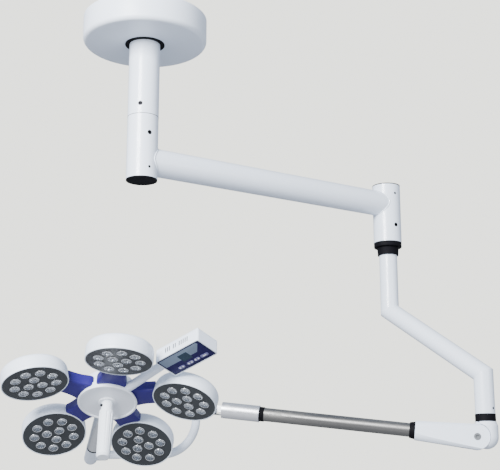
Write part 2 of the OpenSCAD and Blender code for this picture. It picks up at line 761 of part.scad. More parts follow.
module control_box() color(coat_white) at_box() difference() {
    translate([0, 0, -0.5]) box_block(box_size, 14, 6);
    translate([0, 0, -1]) box_block(
        [box_size[0] - 5, box_size[1] - 5, box_size[2] - 2], 11.5, 3.5);
    for (x = vent_x) translate([x - 1.5, -box_size[1] / 2 - over, 14]) cube([3, 6, 15]);
}

module control_panel() color([0.2, 0.2, 0.45]) at_box() difference() {
    linear_extrude(panel_size[2]) rounded_rect(panel_size[0], panel_size[1], 3.4);
    for (k = [0 : 3]) translate([key_x[k], key_y, -over]) linear_extrude(6)
        oval(key_len[k] + 2 * gap, key_w + 2 * gap);
}

module key(k) color("lightgrey") at_box() translate([key_x[k], key_y, -key_proud])
    linear_extrude(key_proud + 4) oval(key_len[k], key_w);

// ---------- Sterile handle ----------
module handle_grip() color("white") at_head() difference() {
    union() {
        rod(spigot_r, -2, 24);
        rod(neck_r, -neck_len, -1 - gap);
        translate([0, 0, -handle_len + 6])
            cylinder(h = handle_len - neck_len - 6, r1 = grip_r - 1.5, r2 = grip_r);
        translate([0, 0, -handle_len]) cylinder(h = 6, r1 = grip_r - 5, r2 = grip_r - 0.5);
    }
    for (k = [0 : 9]) rotate([0, 0, k * 36]) translate([grip_r + 2.2, 0, 0])
        rod(4, -handle_len + 16, -neck_len - 8);
    rotate([0, 0, latch_at]) translate([7, 0, latch_z]) along_x()
        cylinder(h = 12, r = latch_r + run_fit);
}

module latch_button() color(rubber_black) at_head() rotate([0, 0, latch_at])
    translate([10.5, 0, latch_z]) along_x() cylinder(h = 10, r = latch_r);

ceiling_plate();
canopy();
canopy_seal();
down_tube();
column_spindle();
column_screws();
first_arm();
arm_bushes();
hub_caps();
arm_screws();
pipe_boot();
drop_pipe();
pipe_spindle();
pipe_bushes();
pipe_screw();
knuckle_ring();
knuckle();
knuckle_spindle();
rear_cover();
rear_bracket();
tilt_pin();
boom_tube();
boom_rings();
boom_sleeve();
balance_spring();
spring_rod();
front_pin();
levelling_rod();
front_knuckle();
yoke_tube();
yoke_ring();
elbow();
elbow_ring();
stub_spindle();
stub_sleeve();
stub_ring();
hub_drum();
hub_dish();
petal_arms();
led_boards();
lenses();
petal_casing(0);  // petal_casing_1
petal_casing(1);  // petal_casing_2
petal_casing(2);  // petal_casing_3
petal_casing(3);  // petal_casing_4
petal_casing(4);  // petal_casing_5
petal_face(0);  // petal_face_1
petal_face(1);  // petal_face_2
petal_face(2);  // petal_face_3
petal_face(3);  // petal_face_4
petal_face(4);  // petal_face_5
control_stalk();
control_box();
control_panel();
key(0);  // key_1
key(1);  // key_2
key(2);  // key_3
key(3);  // key_4
handle_grip();
latch_button();
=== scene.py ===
# %% [markdown]
# # A ceiling-hung operating light
# The light is a chain of arms: a column bolted to the ceiling, a turning arm, a cranked pipe, a
# spring arm, a curved yoke and a lamp head. The exact shapes and joints come from the packed
# model, so the work here is finish and fine detail. The model is loaded first, and its box kept.

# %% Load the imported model
import json
import math

import bmesh
import bpy
from mathutils import Matrix, Vector


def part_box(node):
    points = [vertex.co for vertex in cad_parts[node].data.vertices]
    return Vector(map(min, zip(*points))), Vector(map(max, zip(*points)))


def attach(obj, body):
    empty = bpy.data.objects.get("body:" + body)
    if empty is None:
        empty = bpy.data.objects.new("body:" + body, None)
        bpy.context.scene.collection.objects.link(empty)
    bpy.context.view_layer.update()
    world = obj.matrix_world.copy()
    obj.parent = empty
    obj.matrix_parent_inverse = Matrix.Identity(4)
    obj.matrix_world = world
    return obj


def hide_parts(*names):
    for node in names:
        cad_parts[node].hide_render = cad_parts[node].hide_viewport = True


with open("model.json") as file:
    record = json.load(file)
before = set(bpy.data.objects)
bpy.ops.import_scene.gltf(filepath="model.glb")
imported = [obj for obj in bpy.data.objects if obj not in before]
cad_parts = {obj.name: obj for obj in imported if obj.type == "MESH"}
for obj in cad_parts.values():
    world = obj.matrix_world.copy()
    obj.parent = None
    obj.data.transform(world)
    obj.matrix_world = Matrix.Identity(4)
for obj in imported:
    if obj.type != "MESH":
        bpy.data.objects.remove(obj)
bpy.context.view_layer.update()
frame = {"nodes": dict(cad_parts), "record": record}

nodes = frame["nodes"]
joints = {joint["name"]: joint for joint in frame["record"]["behaviour"]["joints"]}
print("nodes:", len(nodes), "joints:", len(joints))

# %% [markdown]
# ## The camera
# A camera at the height of a seated patient looks up at the folded arms. A long lens a few metres
# away keeps the tubes nearly parallel, as a catalogue view does.

# %% Camera
MM = 0.001
CAMERA_PLACE = (0.306, -2.974, -1.390)
CAMERA_PITCH = 14
LENS_LENGTH = 79.2
camera_data = bpy.data.cameras.new("studio_camera")
camera_data.sensor_width = 36.0
camera_data.lens = LENS_LENGTH
camera_data.clip_end = 60.0
camera = bpy.data.objects.new("studio_camera", camera_data)
camera.location = CAMERA_PLACE
camera.rotation_euler = (math.radians(90 + CAMERA_PITCH), 0, 0)
bpy.context.scene.collection.objects.link(camera)
bpy.context.scene.camera = camera
print("camera at", tuple(round(v, 3) for v in camera.location))

# %% [markdown]
# ## The studio
# White enamel shows its shape only through soft shading. An even pale world gives the base light,
# a large lamp from the upper left models the tubes, and a weak one fills the right. What the camera
# sees behind the light is a paler backdrop than the room that lights it.

# %% Lights and world
def area_light(name, place, target, size, power):
    """A square soft light at place that faces target."""
    data = bpy.data.lights.new(name, "AREA")
    data.size = size
    data.energy = power
    light = bpy.data.objects.new(name, data)
    light.location = place
    light.rotation_euler = (Vector(target) - Vector(place)).to_track_quat("-Z", "Y").to_euler()
    bpy.context.scene.collection.objects.link(light)


LAMP_CENTRE = (0.3, 0.2, -0.8)
BACKDROP_COLOUR, BACKDROP_STRENGTH = (1.000, 1.008, 0.945, 1), 2.32
ROOM_COLOUR, ROOM_STRENGTH = (0.85, 0.95, 1.13, 1), 0.72
area_light("key_light", (-1.4, -3.4, 0.6), LAMP_CENTRE, 1.5, 570)
area_light("fill_light", (3.2, -2.6, -0.6), LAMP_CENTRE, 1.6, 40)

world = bpy.data.worlds.new("pale_room")
world.use_nodes = True
sky = world.node_tree
backdrop = sky.nodes["Background"]
backdrop.inputs["Color"].default_value = BACKDROP_COLOUR
backdrop.inputs["Strength"].default_value = BACKDROP_STRENGTH
room = sky.nodes.new("ShaderNodeBackground")
room.inputs["Color"].default_value = ROOM_COLOUR
room.inputs["Strength"].default_value = ROOM_STRENGTH
seen = sky.nodes.new("ShaderNodeLightPath")
choice = sky.nodes.new("ShaderNodeMixShader")
sky.links.new(seen.outputs["Is Camera Ray"], choice.inputs[0])
sky.links.new(room.outputs[0], choice.inputs[1])
sky.links.new(backdrop.outputs[0], choice.inputs[2])
sky.links.new(choice.outputs[0], sky.nodes["World Output"].inputs["Surface"])
bpy.context.scene.world = world

# %% [markdown]
# ## Shader maths
# Every finish below varies a little over its surface. Written as node by node wiring that is hard
# to read, so a value is wrapped in a small class, and plus, minus and times add the Math nodes.

# %% Values and finishes
class Value:
    """A number at each point of a surface, which takes Python's own operators."""

    def __init__(self, finish, socket):
        self.finish = finish
        self.socket = socket

    def maths(self, operation, first, second):
        node = self.finish.node("ShaderNodeMath", {"operation": operation}, {0: first, 1: second})
        return Value(self.finish, node.outputs[0])

    def __add__(self, other):
        return self.maths("ADD", self, other)

    __radd__ = __add__

    def __sub__(self, other):
        return self.maths("SUBTRACT", self, other)

    def __rsub__(self, other):
        return self.maths("SUBTRACT", other, self)

    def __mul__(self, other):
        return self.maths("MULTIPLY", self, other)

    __rmul__ = __mul__

    def step(self, low, high):
        """0 below low and 1 above high, smooth between them."""
        node = self.finish.node(
            "ShaderNodeMapRange",
            {"interpolation_type": "SMOOTHSTEP"},
            {"Value": self, "From Min": low, "From Max": high},
        )
        return Value(self.finish, node.outputs[0])


class Finish:
    """A material in the making. What is constant is set on the shader's own sockets."""

    def __init__(self, name, **constants):
        self.material = bpy.data.materials.new(name)
        self.material.use_nodes = True
        self.tree = self.material.node_tree
        self.shader = self.tree.nodes["Principled BSDF"]
        for key, value in constants.items():
            socket = key.replace("_", " ").title().replace("Ior", "IOR")
            self.shader.inputs[socket].default_value = value
        self.place = self.node("ShaderNodeTexCoord").outputs["Object"]

    def node(self, kind, settings=None, sockets=None):
        node = self.tree.nodes.new(kind)
        for key, value in (settings or {}).items():
            setattr(node, key, value)
        for key, value in (sockets or {}).items():
            self.feed(node.inputs[key], value)
        return node

    def feed(self, socket, value):
        if isinstance(value, Value):
            self.tree.links.new(value.socket, socket)
        elif isinstance(value, bpy.types.NodeSocket):
            self.tree.links.new(value, socket)
        else:
            socket.default_value = value

    def noise(self, scale, detail=2.0, stretch=None, turn=(0, 0, 0)):
        """Cloudy value from 0 to 1. stretch squeezes it along the axes, after a turn."""
        where = self.place
        if stretch:
            turned = self.node("ShaderNodeMapping", None, {"Vector": where, "Rotation": turn})
            sized = {"Vector": turned.outputs[0], "Scale": stretch}
            where = self.node("ShaderNodeMapping", None, sized).outputs[0]
        sockets = {"Vector": where, "Scale": scale, "Detail": detail}
        return Value(self, self.node("ShaderNodeTexNoise", None, sockets).outputs["Fac"])

    def upward(self):
        """1 where the surface faces up and 0 elsewhere."""
        normal = self.node("ShaderNodeNewGeometry").outputs["Normal"]
        height = self.node("ShaderNodeSeparateXYZ", None, {0: normal}).outputs[2]
        return Value(self, height).step(0.55, 0.95)

    def blend(self, first, second, mask):
        """Colour first where mask is 0 and colour second where it is 1."""
        sockets = {0: mask, 6: first, 7: second}
        return self.node("ShaderNodeMix", {"data_type": "RGBA"}, sockets).outputs[2]

    def finish(self, colour, roughness, height=None, depth=0.0001, strength=0.3):
        self.feed(self.shader.inputs["Base Color"], colour)
        self.feed(self.shader.inputs["Roughness"], roughness)
        if height is not None:
            sockets = {"Height": height, "Distance": depth, "Strength": strength}
            bump = self.node("ShaderNodeBump", None, sockets)
            self.feed(self.shader.inputs["Normal"], bump.outputs["Normal"])
        return self.material


def shade(colour, factor):
    """The colour made darker or lighter by a factor, with its alpha kept at 1."""
    return tuple(min(1.0, channel * factor) for channel in colour[:3]) + (1.0,)


print("value class ready")

# %% [markdown]
# ## Enamel and moulded plastic
# The tubes carry a baked powder coat: a fine orange peel, faint changes of tone, wiped patches that
# shine differently, and a little dust where the surface faces up. The moulded covers are the same
# white without the peel, with a fine spark-eroded grain instead. One function makes both, because
# only the scale and depth of the grain and the gloss differ.

# %% Coated and moulded surfaces
def coated(name, colour, roughness, grain, depth, dust=0.10, **constants):
    """Powder coat or moulded plastic with a grain of so many lumps a metre."""
    surface = Finish(name, **constants)
    tone = surface.noise(7.0, 3.0)
    wiped = surface.noise(24.0, 5.0).step(0.40, 0.66)
    peel = surface.noise(grain, 2.0)
    scuffs = surface.noise(60.0, 6.0, stretch=(1.0, 1.0, 0.12)).step(0.66, 0.74)
    settled = surface.upward() * surface.noise(90.0, 4.0).step(0.35, 0.75) * dust
    body = surface.blend(shade(colour, 0.965), shade(colour, 1.02), tone)
    worn = surface.blend(body, shade(colour, 0.90), scuffs * 0.35)
    dusty = surface.blend(worn, (0.62, 0.60, 0.56, 1), settled)
    gloss = roughness + wiped * 0.07 + scuffs * 0.10 + settled * 0.6
    return surface.finish(dusty, gloss, peel + scuffs * 0.3, depth, 0.35)


enamel = coated("white_enamel", (0.77, 0.84, 0.94), 0.30, 900.0, 0.00010, coat_weight=0.25)
cover_plastic = coated("cover_plastic", (0.77, 0.84, 0.94), 0.36, 1600.0, 0.00006)
dish_plastic = coated("dish_plastic", (0.80, 0.84, 0.90), 0.34, 1600.0, 0.00005)
handle_plastic = coated("handle_plastic", (0.81, 0.86, 0.92), 0.32, 1800.0, 0.00006)
blue_coat = coated(
    "blue_coat", (0.020, 0.013, 0.150), 0.42, 1100.0, 0.00010, 0.03, specular_ior_level=0.3)
face_coat = coated(
    "face_coat", (0.024, 0.028, 0.032), 0.36, 1500.0, 0.00008, 0.02, specular_ior_level=0.4)
print("coated finishes:", len([m for m in bpy.data.materials if m.use_nodes]))

# %% [markdown]
# ## Metals
# The spring arm's tube is drawn steel: fine streaks run along it and stretch each highlight. The
# front sleeve is pale anodised aluminium and the pins and screws are dark machined steel. The
# streaks are noise squeezed along the part's own axis, so each metal gets the turn of its part.

# %% Metal surfaces
def streaked(name, colour, roughness, turn=(0, 0, 0), across=600.0, grime=0.3, **constants):
    """Metal with fine streaks along the part's own X axis after the turn."""
    metal = Finish(name, metallic=1.0, **constants)
    streaks = metal.noise(1.0, 3.0, stretch=(6.0, across, across), turn=turn)
    broad = metal.noise(14.0, 4.0)
    stained = metal.noise(45.0, 5.0).step(0.52, 0.70)
    body = metal.blend(shade(colour, 0.80), shade(colour, 1.12), streaks)
    dull = metal.blend(body, shade(colour, 0.62), stained * grime)
    gloss = roughness + streaks * 0.14 + broad * 0.06 + stained * 0.10
    return metal.finish(dull, gloss, streaks, 0.00003, 0.30)


def unturned(matrix):
    """The turn that carries the row's axes onto a part's own axes, as angles for Mapping."""
    return tuple(matrix.to_3x3().inverted().to_euler())


def pose_from(origin, along, up):
    """A part's own frame: X along it and Z as near to up as it can be."""
    x_axis = Vector(along).normalized()
    y_axis = Vector(up).cross(x_axis).normalized()
    z_axis = x_axis.cross(y_axis)
    turn = Matrix((x_axis, y_axis, z_axis)).transposed().to_4x4()
    return Matrix.Translation(Vector(origin)) @ turn


pivot = Vector(joints["boom_tilt"]["pos_m"])
front = Vector(joints["front_level"]["pos_m"])
BOOM = pose_from(pivot, front - pivot, (0, 0, 1))
handle, roll = joints["handle_turn"], joints["head_roll"]
HEAD = pose_from(handle["pos_m"], roll["axis"], handle["axis"])
STUB = pose_from(roll["pos_m"], roll["axis"], handle["axis"])
print("spring arm", round((front - pivot).length, 4), "m between pins")

tube_steel = streaked("tube_steel", (0.21, 0.207, 0.20), 0.30, unturned(BOOM), anisotropic=0.4)
sleeve_silver = streaked("sleeve_silver", (0.80, 0.81, 0.83), 0.30, unturned(BOOM), 900.0, 0.12)
cast_alloy = streaked("cast_alloy", (0.82, 0.84, 0.85), 0.26, unturned(STUB), 500.0, 0.15)
dark_steel = streaked("dark_steel", (0.20, 0.21, 0.22), 0.32, (0, 0, 0), 300.0)
spring_steel = streaked("spring_steel", (0.34, 0.35, 0.36), 0.30, unturned(BOOM), 800.0)
zinc = streaked("zinc_plate", (0.60, 0.61, 0.62), 0.40, (0, 0, 0), 200.0)
black_steel = streaked("black_steel", (0.012, 0.012, 0.014), 0.42, (0, 0, 0), 300.0)
rim_metal = streaked("rim_metal", (0.86, 0.88, 0.91), 0.22, unturned(HEAD), 400.0, 0.05)
bronze = streaked("bush_bronze", (0.62, 0.42, 0.20), 0.38, (0, 0, 0), 300.0)
# Painted shade: the reflector's colour is made dark so that each bowl shows as the dark ring inside its
# lens.
reflector_painted_dark = streaked("reflector_painted_dark", (0.26, 0.29, 0.34), 0.12, unturned(HEAD), 400.0, 0.05)
print("metals ready")

# %% [markdown]
# ## Rubber, optics and print
# Rubber rings and the boot are nearly black and matte, with a faint bloom. Each lens is clear acrylic over
# a reflector whose colour is painted dark, as painted shade. The control panel is a printed film, and its
# keys are domed.

# %% Rubber, lens and film
def rubber(name, colour, roughness):
    skin = Finish(name, specular_ior_level=0.10)
    bloom = skin.noise(30.0, 5.0).step(0.45, 0.75)
    grain = skin.noise(1400.0, 2.0)
    tint = skin.blend(colour, shade(colour, 2.4), bloom * 0.5)
    return skin.finish(tint, roughness + bloom * 0.12, grain, 0.00008, 0.4)


def clear_optic(name, colour):
    lens = Finish(name, ior=1.49, transmission_weight=0.96, coat_weight=0.3, coat_roughness=0.03)
    smear = lens.noise(70.0, 4.0).step(0.45, 0.7)
    ripple = lens.noise(500.0, 1.0)
    tint = lens.blend(colour, shade(colour, 0.93), smear)
    return lens.finish(tint, 0.05 + smear * 0.10, ripple, 0.00002, 0.15)


def printed_film(name, colour, roughness=0.32):
    film = Finish(name, specular_ior_level=0.16)
    ink = film.noise(40.0, 4.0)
    fingers = film.noise(130.0, 5.0).step(0.5, 0.72)
    texture = film.noise(2600.0, 1.0)
    tint = film.blend(shade(colour, 0.92), shade(colour, 1.06), ink)
    return film.finish(tint, roughness + fingers * 0.14, texture, 0.00004, 0.3)


black_rubber = rubber("black_rubber", (0.0022, 0.0022, 0.0036, 1), 0.68)
lens_clear = clear_optic("lens_clear", (0.80, 0.85, 0.90, 1))
film_indigo = printed_film("film_indigo", (0.006, 0.003, 0.060))
film_navy = printed_film("film_navy", (0.006, 0.008, 0.040))
film_pale = printed_film("film_pale", (0.17, 0.22, 0.30))
film_teal = printed_film("film_teal", (0.020, 0.040, 0.065), 0.22)
key_plastic = printed_film("key_plastic", (0.15, 0.15, 0.30), 0.40)
print_white = printed_film("print_white", (0.78, 0.80, 0.84), 0.45)
chip_phosphor = printed_film("chip_phosphor", (0.86, 0.84, 0.62), 0.35)
board_mask = printed_film("board_mask", (0.05, 0.12, 0.08), 0.45)
floor_paper = coated("floor_paper", (0.34, 0.34, 0.35), 0.75, 300.0, 0.0002, 0.0)
print("materials:", len(bpy.data.materials))

# %% [markdown]
# ## Finishes on the exact parts
# Most parts keep their exact shape and only need their finish. The dictionary reads as a parts list:
# each finish is followed by the names of the parts that wear it.

# %% Give every exact part its finish
FINISHES = {
    enamel: ["down_tube", "first_arm", "drop_pipe", "knuckle", "front_knuckle", "yoke_tube", "elbow"],
    cover_plastic: ["canopy", "rear_cover", "hub_drum", "control_stalk", "control_box"]
    + [f"petal_casing_{i}" for i in range(1, 6)],
    dish_plastic: ["hub_dish"],
    handle_plastic: ["handle_grip"],
    blue_coat: ["petal_arms"],
    face_coat: [f"petal_face_{i}" for i in range(1, 6)],
    tube_steel: ["boom_tube"],
    sleeve_silver: ["boom_sleeve"],
    cast_alloy: ["stub_sleeve", "rear_bracket"],
    dark_steel: [
        "column_spindle", "pipe_spindle",
        "knuckle_spindle", "tilt_pin", "front_pin", "levelling_rod", "stub_spindle", "spring_rod",
    ],
    black_steel: ["column_screws", "arm_screws", "pipe_screw"],
    spring_steel: ["balance_spring"],
    zinc: ["ceiling_plate"],
    bronze: ["arm_bushes", "pipe_bushes"],
    black_rubber: [
        "canopy_seal", "pipe_boot", "knuckle_ring", "boom_rings", "yoke_ring", "elbow_ring",
        "stub_ring", "hub_caps", "latch_button",
    ],
    lens_clear: ["lenses"],
    board_mask: ["led_boards"],
    film_indigo: ["control_panel"],
    key_plastic: ["key_1", "key_2", "key_3", "key_4"],
}
painted = 0
for material, names in FINISHES.items():
    for name in names:
        nodes[name].data.materials.clear()
        nodes[name].data.materials.append(material)
        painted += 1
print("painted", painted, "of", len(nodes))

# %% [markdown]
# ## Turned pieces
# The casings, the drum, the dish and the canopy are pressed or moulded in round tools, so each has
# a rounded lip, a small step or a rolled edge that a plain extrusion lacks. Each is built as a
# profile that is swept round its axis. Corners are given as short arcs, to catch the light.

# %% Lathe
def arc(centre_r, centre_z, radius, start, end, steps=6):
    """Points of a corner's arc, in millimetres, from one angle to another in degrees."""
    angles = [math.radians(start + (end - start) * k / steps) for k in range(steps + 1)]
    return [(centre_r + radius * math.cos(a), centre_z + radius * math.sin(a)) for a in angles]


def sweep_round(shape, profile, place, sides=128):
    """Adds the profile, swept round the Z axis of place, to a mesh in the making."""
    rings = []
    for radius, height in profile:
        if radius < 1e-6:
            rings.append([shape.verts.new(place @ Vector((0, 0, height * MM)))])
            continue
        turns = [2 * math.pi * k / sides for k in range(sides)]
        points = [Vector((radius * math.cos(a), radius * math.sin(a), height)) * MM for a in turns]
        rings.append([shape.verts.new(place @ point) for point in points])
    for lower, upper in zip(rings, rings[1:]):
        for k in range(sides):
            m = (k + 1) % sides
            below = [lower[k % len(lower)], lower[m % len(lower)]]
            above = [upper[m % len(upper)], upper[k % len(upper)]]
            shape.faces.new(list(dict.fromkeys(below + above)))


def piece(name, shape, material, body, slot, *replaced, sharp=35.0):
    """Turns a mesh in the making into a piece that rides on a body."""
    bmesh.ops.recalc_face_normals(shape, faces=shape.faces)
    for face in shape.faces:
        face.smooth = True
    for edge in shape.edges:
        if len(edge.link_faces) == 2 and edge.calc_face_angle(0) > math.radians(sharp):
            edge.smooth = False
    mesh = bpy.data.meshes.new(name)
    shape.to_mesh(mesh)
    shape.free()
    mesh.materials.append(material)
    thing = bpy.data.objects.new(name, mesh)
    bpy.context.scene.collection.objects.link(thing)
    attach(thing, body)
    if replaced:
        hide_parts(*replaced)
    return thing


def turned(name, profile, place, material, body, slot, *replaced, sides=128):
    shape = bmesh.new()
    sweep_round(shape, profile, place, sides)
    return piece(name, shape, material, body, slot, *replaced)


print("lathe ready")

# %% [markdown]
# ## Canopy
# The canopy is a spun cover that hides the ceiling plate. Its lower edge is a generous radius, and
# the centre hole is rolled inwards round the rubber grommet. The metal is one thin skin, so the
# profile runs down the outside and back up the inside.

# %% Canopy shell
canopy_low, canopy_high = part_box("canopy")
CANOPY_R = (canopy_high[0] - canopy_low[0]) / 2 / MM
CANOPY_H = -canopy_low[2] / MM
WALL = 2.5
canopy_profile = (
    [(CANOPY_R - WALL, -1.0), (CANOPY_R - 0.6, -1.0), (CANOPY_R, -1.6)]
    + arc(CANOPY_R - 14, -CANOPY_H + 14, 14, 0, -90, 12)
    + arc(58.2, -CANOPY_H + 1.2, 1.2, -90, -180)
    + arc(58.2, -CANOPY_H + WALL - 1.2, 1.2, 180, 90)
    + arc(CANOPY_R - 14, -CANOPY_H + 14, 14 - WALL, -90, 0, 12)
    + [(CANOPY_R - WALL, -1.0)]
)
turned(
    "canopy_shell", canopy_profile, Matrix(), cover_plastic,
    "column", "white_coat", "canopy", sides=192,
)
print("canopy", round(2 * CANOPY_R), "x", round(CANOPY_H), "mm")

# %% [markdown]
# ## Petals
# Each petal is a deep round casing. Its front lip is rounded over the edge of the grey face plate,
# its back edge is a large radius, and the back carries a low round boss. The casings lean in, so
# that the five beams meet about a metre below. The lean and the circle are those of the part.

# %% Petal casings
RING_R = 213.0
LEAN = 12.8
FRONT = 12.5
CASING_R = 90.0
DEPTH = 48.0


def petal_place(index):
    """A petal's own frame: the centre of its front edge, with Z pointing back."""
    around = Matrix.Rotation(math.radians(72 * index), 4, "Z")
    out = Matrix.Translation(Vector((RING_R, 0, -FRONT)) * MM)
    lean = Matrix.Rotation(math.radians(LEAN), 4, "Y")
    return HEAD @ around @ out @ lean


casing_profile = (
    [(86.95, 6.0), (86.95, 1.4)]
    + arc(88.4, 1.5, 1.5, 180, 360, 8)
    + [(CASING_R, 8.0), (CASING_R - 0.5, 8.6), (CASING_R - 0.5, 9.4), (CASING_R, 10.0)]
    + arc(CASING_R - 18, DEPTH - 18, 18, 0, 90, 14)
    + [(31.0, DEPTH), (30.2, DEPTH - 0.8), (28.8, DEPTH - 0.8), (28.0, DEPTH), (0, DEPTH)]
)
for i in range(5):
    turned(
        f"petal_shell_{i + 1}", casing_profile, petal_place(i), cover_plastic,
        "head", "cover_white", f"petal_casing_{i + 1}",
    )
print("petal casings", 2 * CASING_R, "mm across")

# %% [markdown]
# ## Lenses
# A lens has three parts that show: a pale rim pressed into the face, a polished bowl that gathers the light
# of one chip, and a clear dome in front. The bowl's colour is painted dark, as painted shade for the dark
# ring, and the chip gives the bright centre, so all three are modelled for each of the lens places.

# %% Lens places
LENS_R = 13.8
lens_spots = [(56.0, 40.0 * k) for k in range(9)] + [(21.0, 60.0 + 120.0 * k) for k in range(3)]


def lens_places():
    """The frame of every lens of every petal, with Z pointing back."""
    for index in range(5):
        for radius, angle in lens_spots:
            around = Matrix.Rotation(math.radians(angle), 4, "Z")
            out = Matrix.Translation(Vector((radius, 0, 0)) * MM)
            yield petal_place(index) @ around @ out


print("lenses:", len(list(lens_places())))

# %% Lens rims, bowls, chips and domes
rim_profile = [(12.0, 3.5), (12.0, 0.6)] + arc(12.9, 0.4, 0.9, 180, 360, 8) + [(13.8, 3.5)]
bowl_profile = [(12.0, 1.2), (11.2, 2.2), (9.6, 4.4), (7.6, 7.2), (5.4, 10.0), (3.6, 12.0), (3.2, 12.6)]
chip_profile = [(3.2, 12.6), (2.6, 11.6), (1.4, 11.2), (0, 11.1)]
dome_back = [(0, 1.2), (6.0, 1.2), (12.0, 0.9)]
dome_front = [(11.6, -0.4), (10.4, -1.7), (8.4, -2.9), (5.8, -3.8), (3.0, -4.3), (0, -4.5)]
rims, bowls, chips, domes = bmesh.new(), bmesh.new(), bmesh.new(), bmesh.new()
for place in lens_places():
    sweep_round(rims, rim_profile, place, 28)
    sweep_round(bowls, bowl_profile, place, 20)
    sweep_round(chips, chip_profile, place, 12)
    sweep_round(domes, dome_back + dome_front, place, 24)
piece("lens_rims", rims, rim_metal, "head", "cast_alloy")
piece("lens_bowls", bowls, reflector_painted_dark, "head", "cast_alloy")
piece("lens_chips", chips, chip_phosphor, "head", "handle_white")
piece("lens_domes", domes, lens_clear, "head", "lens_clear", "lenses")
print("lens parts made")

# %% [markdown]
# ## Hub
# The dish is a moulded shallow plate with a raised rim and a collar round the handle. Behind it the
# white drum takes the five arms. Their edges are rounded in the mould.

# %% Dish and drum
dish_profile = (
    [(12.05, 24.0), (12.05, -0.4)]
    + arc(13.0, -0.4, 0.95, 180, 270)
    + arc(22.5, 0.1, 1.5, -90, 0)
    + arc(25.6, 1.0, 1.6, 180, 90)
    + arc(74.5, 1.0, 1.6, 90, 0)
    + arc(78.0, -0.2, 1.6, 180, 270)
    + arc(80.0, 0.4, 2.0, -90, 0, 8)
    + [(82.0, 3.2), (81.2, 4.0), (78.5, 4.0), (20.0, 4.0), (20.0, 24.0), (12.05, 24.0)]
)
turned("dish_face", dish_profile, HEAD, dish_plastic, "head", "dish_white", "hub_dish")
drum_profile = (
    [(70.0, 4.2)]
    + arc(76.5, 5.7, 1.5, -90, 0)
    + arc(75.5, 19.5, 2.5, 0, 90)
    + [(72.0, 22.0), (72.0, 54.0)]
    + arc(58.0, 54.0, 14.0, 0, 90, 12)
    + [(40.0, 68.0), (39.2, 67.2), (38.4, 68.0), (0, 68.0)]
)
turned("drum_shell", drum_profile, HEAD, cover_plastic, "head", "cover_white", "hub_drum")
print("hub made")

# %% [markdown]
# ## Blue arms
# The five arms are one casting round the drum. Each arm keeps an even width out to its petal and
# flares at its root, so that neighbours nearly meet. Each is a stack of outlines, narrower at the
# top and bottom of the stack, which rounds the long edges.

# %% Flared arms
ARM_ROOT = [(66, 41), (73, 40.8), (79, 39.2), (86, 37), (95, 34.8), (106, 33.4), (118, 33), (136, 33)]
ARM_STACK = [(10, 6.0), (10.8, 3.2), (12.8, 1.0), (16, 0), (38, 0), (41.2, 1.0), (43.2, 3.2), (44, 6.0)]


def arm_rings(index):
    """The outlines of one arm, from its front to its back."""
    spot = HEAD @ Matrix.Rotation(math.radians(72 * index), 4, "Z")
    for height, inset in ARM_STACK:
        right = [(x, y - inset) for x, y in ARM_ROOT]
        loop = right + [(x, -y) for x, y in reversed(right)]
        yield [spot @ (Vector((x, y, height)) * MM) for x, y in loop]


arms = bmesh.new()
for index in range(5):
    stack = [[arms.verts.new(point) for point in ring] for ring in arm_rings(index)]
    for lower, upper in zip(stack, stack[1:]):
        for k in range(len(lower)):
            m = (k + 1) % len(lower)
            arms.faces.new([lower[k], lower[m], upper[m], upper[k]])
    arms.faces.new(stack[0])
    arms.faces.new(stack[-1])
piece("blue_arms", arms, blue_coat, "head", "arm_blue", "petal_arms", sharp=50.0)
print("arms made")

# %% [markdown]
# ## Weld seams
# The arm's tube is welded to both sleeves, and the pipe is welded at its mitres. Under paint a weld is a
# soft raised bead, so a thin round bead is swept along the lines where the arm's tube meets its two
# sleeves.

# %% Beads where tubes meet
def bead(name, path, radius, body):
    """A closed round bead along a loop of points."""
    shape = bmesh.new()
    count = len(path)
    rings = []
    for k, point in enumerate(path):
        along = (path[(k + 1) % count] - path[k - 1]).normalized()
        side = side - along * side.dot(along) if rings else along.orthogonal()
        side.normalize()
        up = along.cross(side)
        angles = [2 * math.pi * j / 10 for j in range(10)]
        outs = [(side * math.cos(a) + up * math.sin(a)) * radius for a in angles]
        rings.append([shape.verts.new(point + out) for out in outs])
    for k in range(count):
        here, there = rings[k], rings[(k + 1) % count]
        for j in range(10):
            m = (j + 1) % 10
            if k == count - 1:
                there_j, there_m = closest(here[j], there), closest(here[m], there)
                if there_j is there_m:
                    continue
                shape.faces.new([here[j], here[m], there_m, there_j])
            else:
                shape.faces.new([here[j], here[m], there[m], there[j]])
    return piece(name, shape, enamel, body, "white_coat")


def closest(vert, ring):
    return min(ring, key=lambda other: (other.co - vert.co).length)


hub_1 = Vector(joints["first_arm_turn"]["pos_m"])
hub_2 = Vector(joints["drop_pipe_turn"]["pos_m"])
arm_heading = math.atan2(hub_2.y - hub_1.y, hub_2.x - hub_1.x)
ARM = Matrix.Translation(hub_1) @ Matrix.Rotation(arm_heading, 4, "Z")
arm_length = math.hypot(hub_2.x - hub_1.x, hub_2.y - hub_1.y)
SLEEVE_R, TUBE_R, BEAD_R = 0.0446, 0.040, 0.0022
turns = [2 * math.pi * k / 96 for k in range(96)]
near_loop = []
for a in turns:
    across, height = TUBE_R * math.cos(a), TUBE_R * math.sin(a)
    near_loop.append(Vector((math.sqrt(SLEEVE_R**2 - across**2), across, height)))
far_loop = [Vector((arm_length - p.x, p.y, p.z)) for p in near_loop]
bead("weld_near", [ARM @ p for p in near_loop], BEAD_R, "first_arm")
bead("weld_far", [ARM @ p for p in far_loop], BEAD_R, "first_arm")
print("first arm", round(arm_length, 3), "m")

# %% [markdown]
# ## Control panel
# A printed film covers the open side of the control box: a dark border, a pale strip, a small dark
# window and an indigo field for the keys. The printed fields are thin plates on the exact panel,
# which keeps its key holes. Nothing is written on them but round dots on the keys.

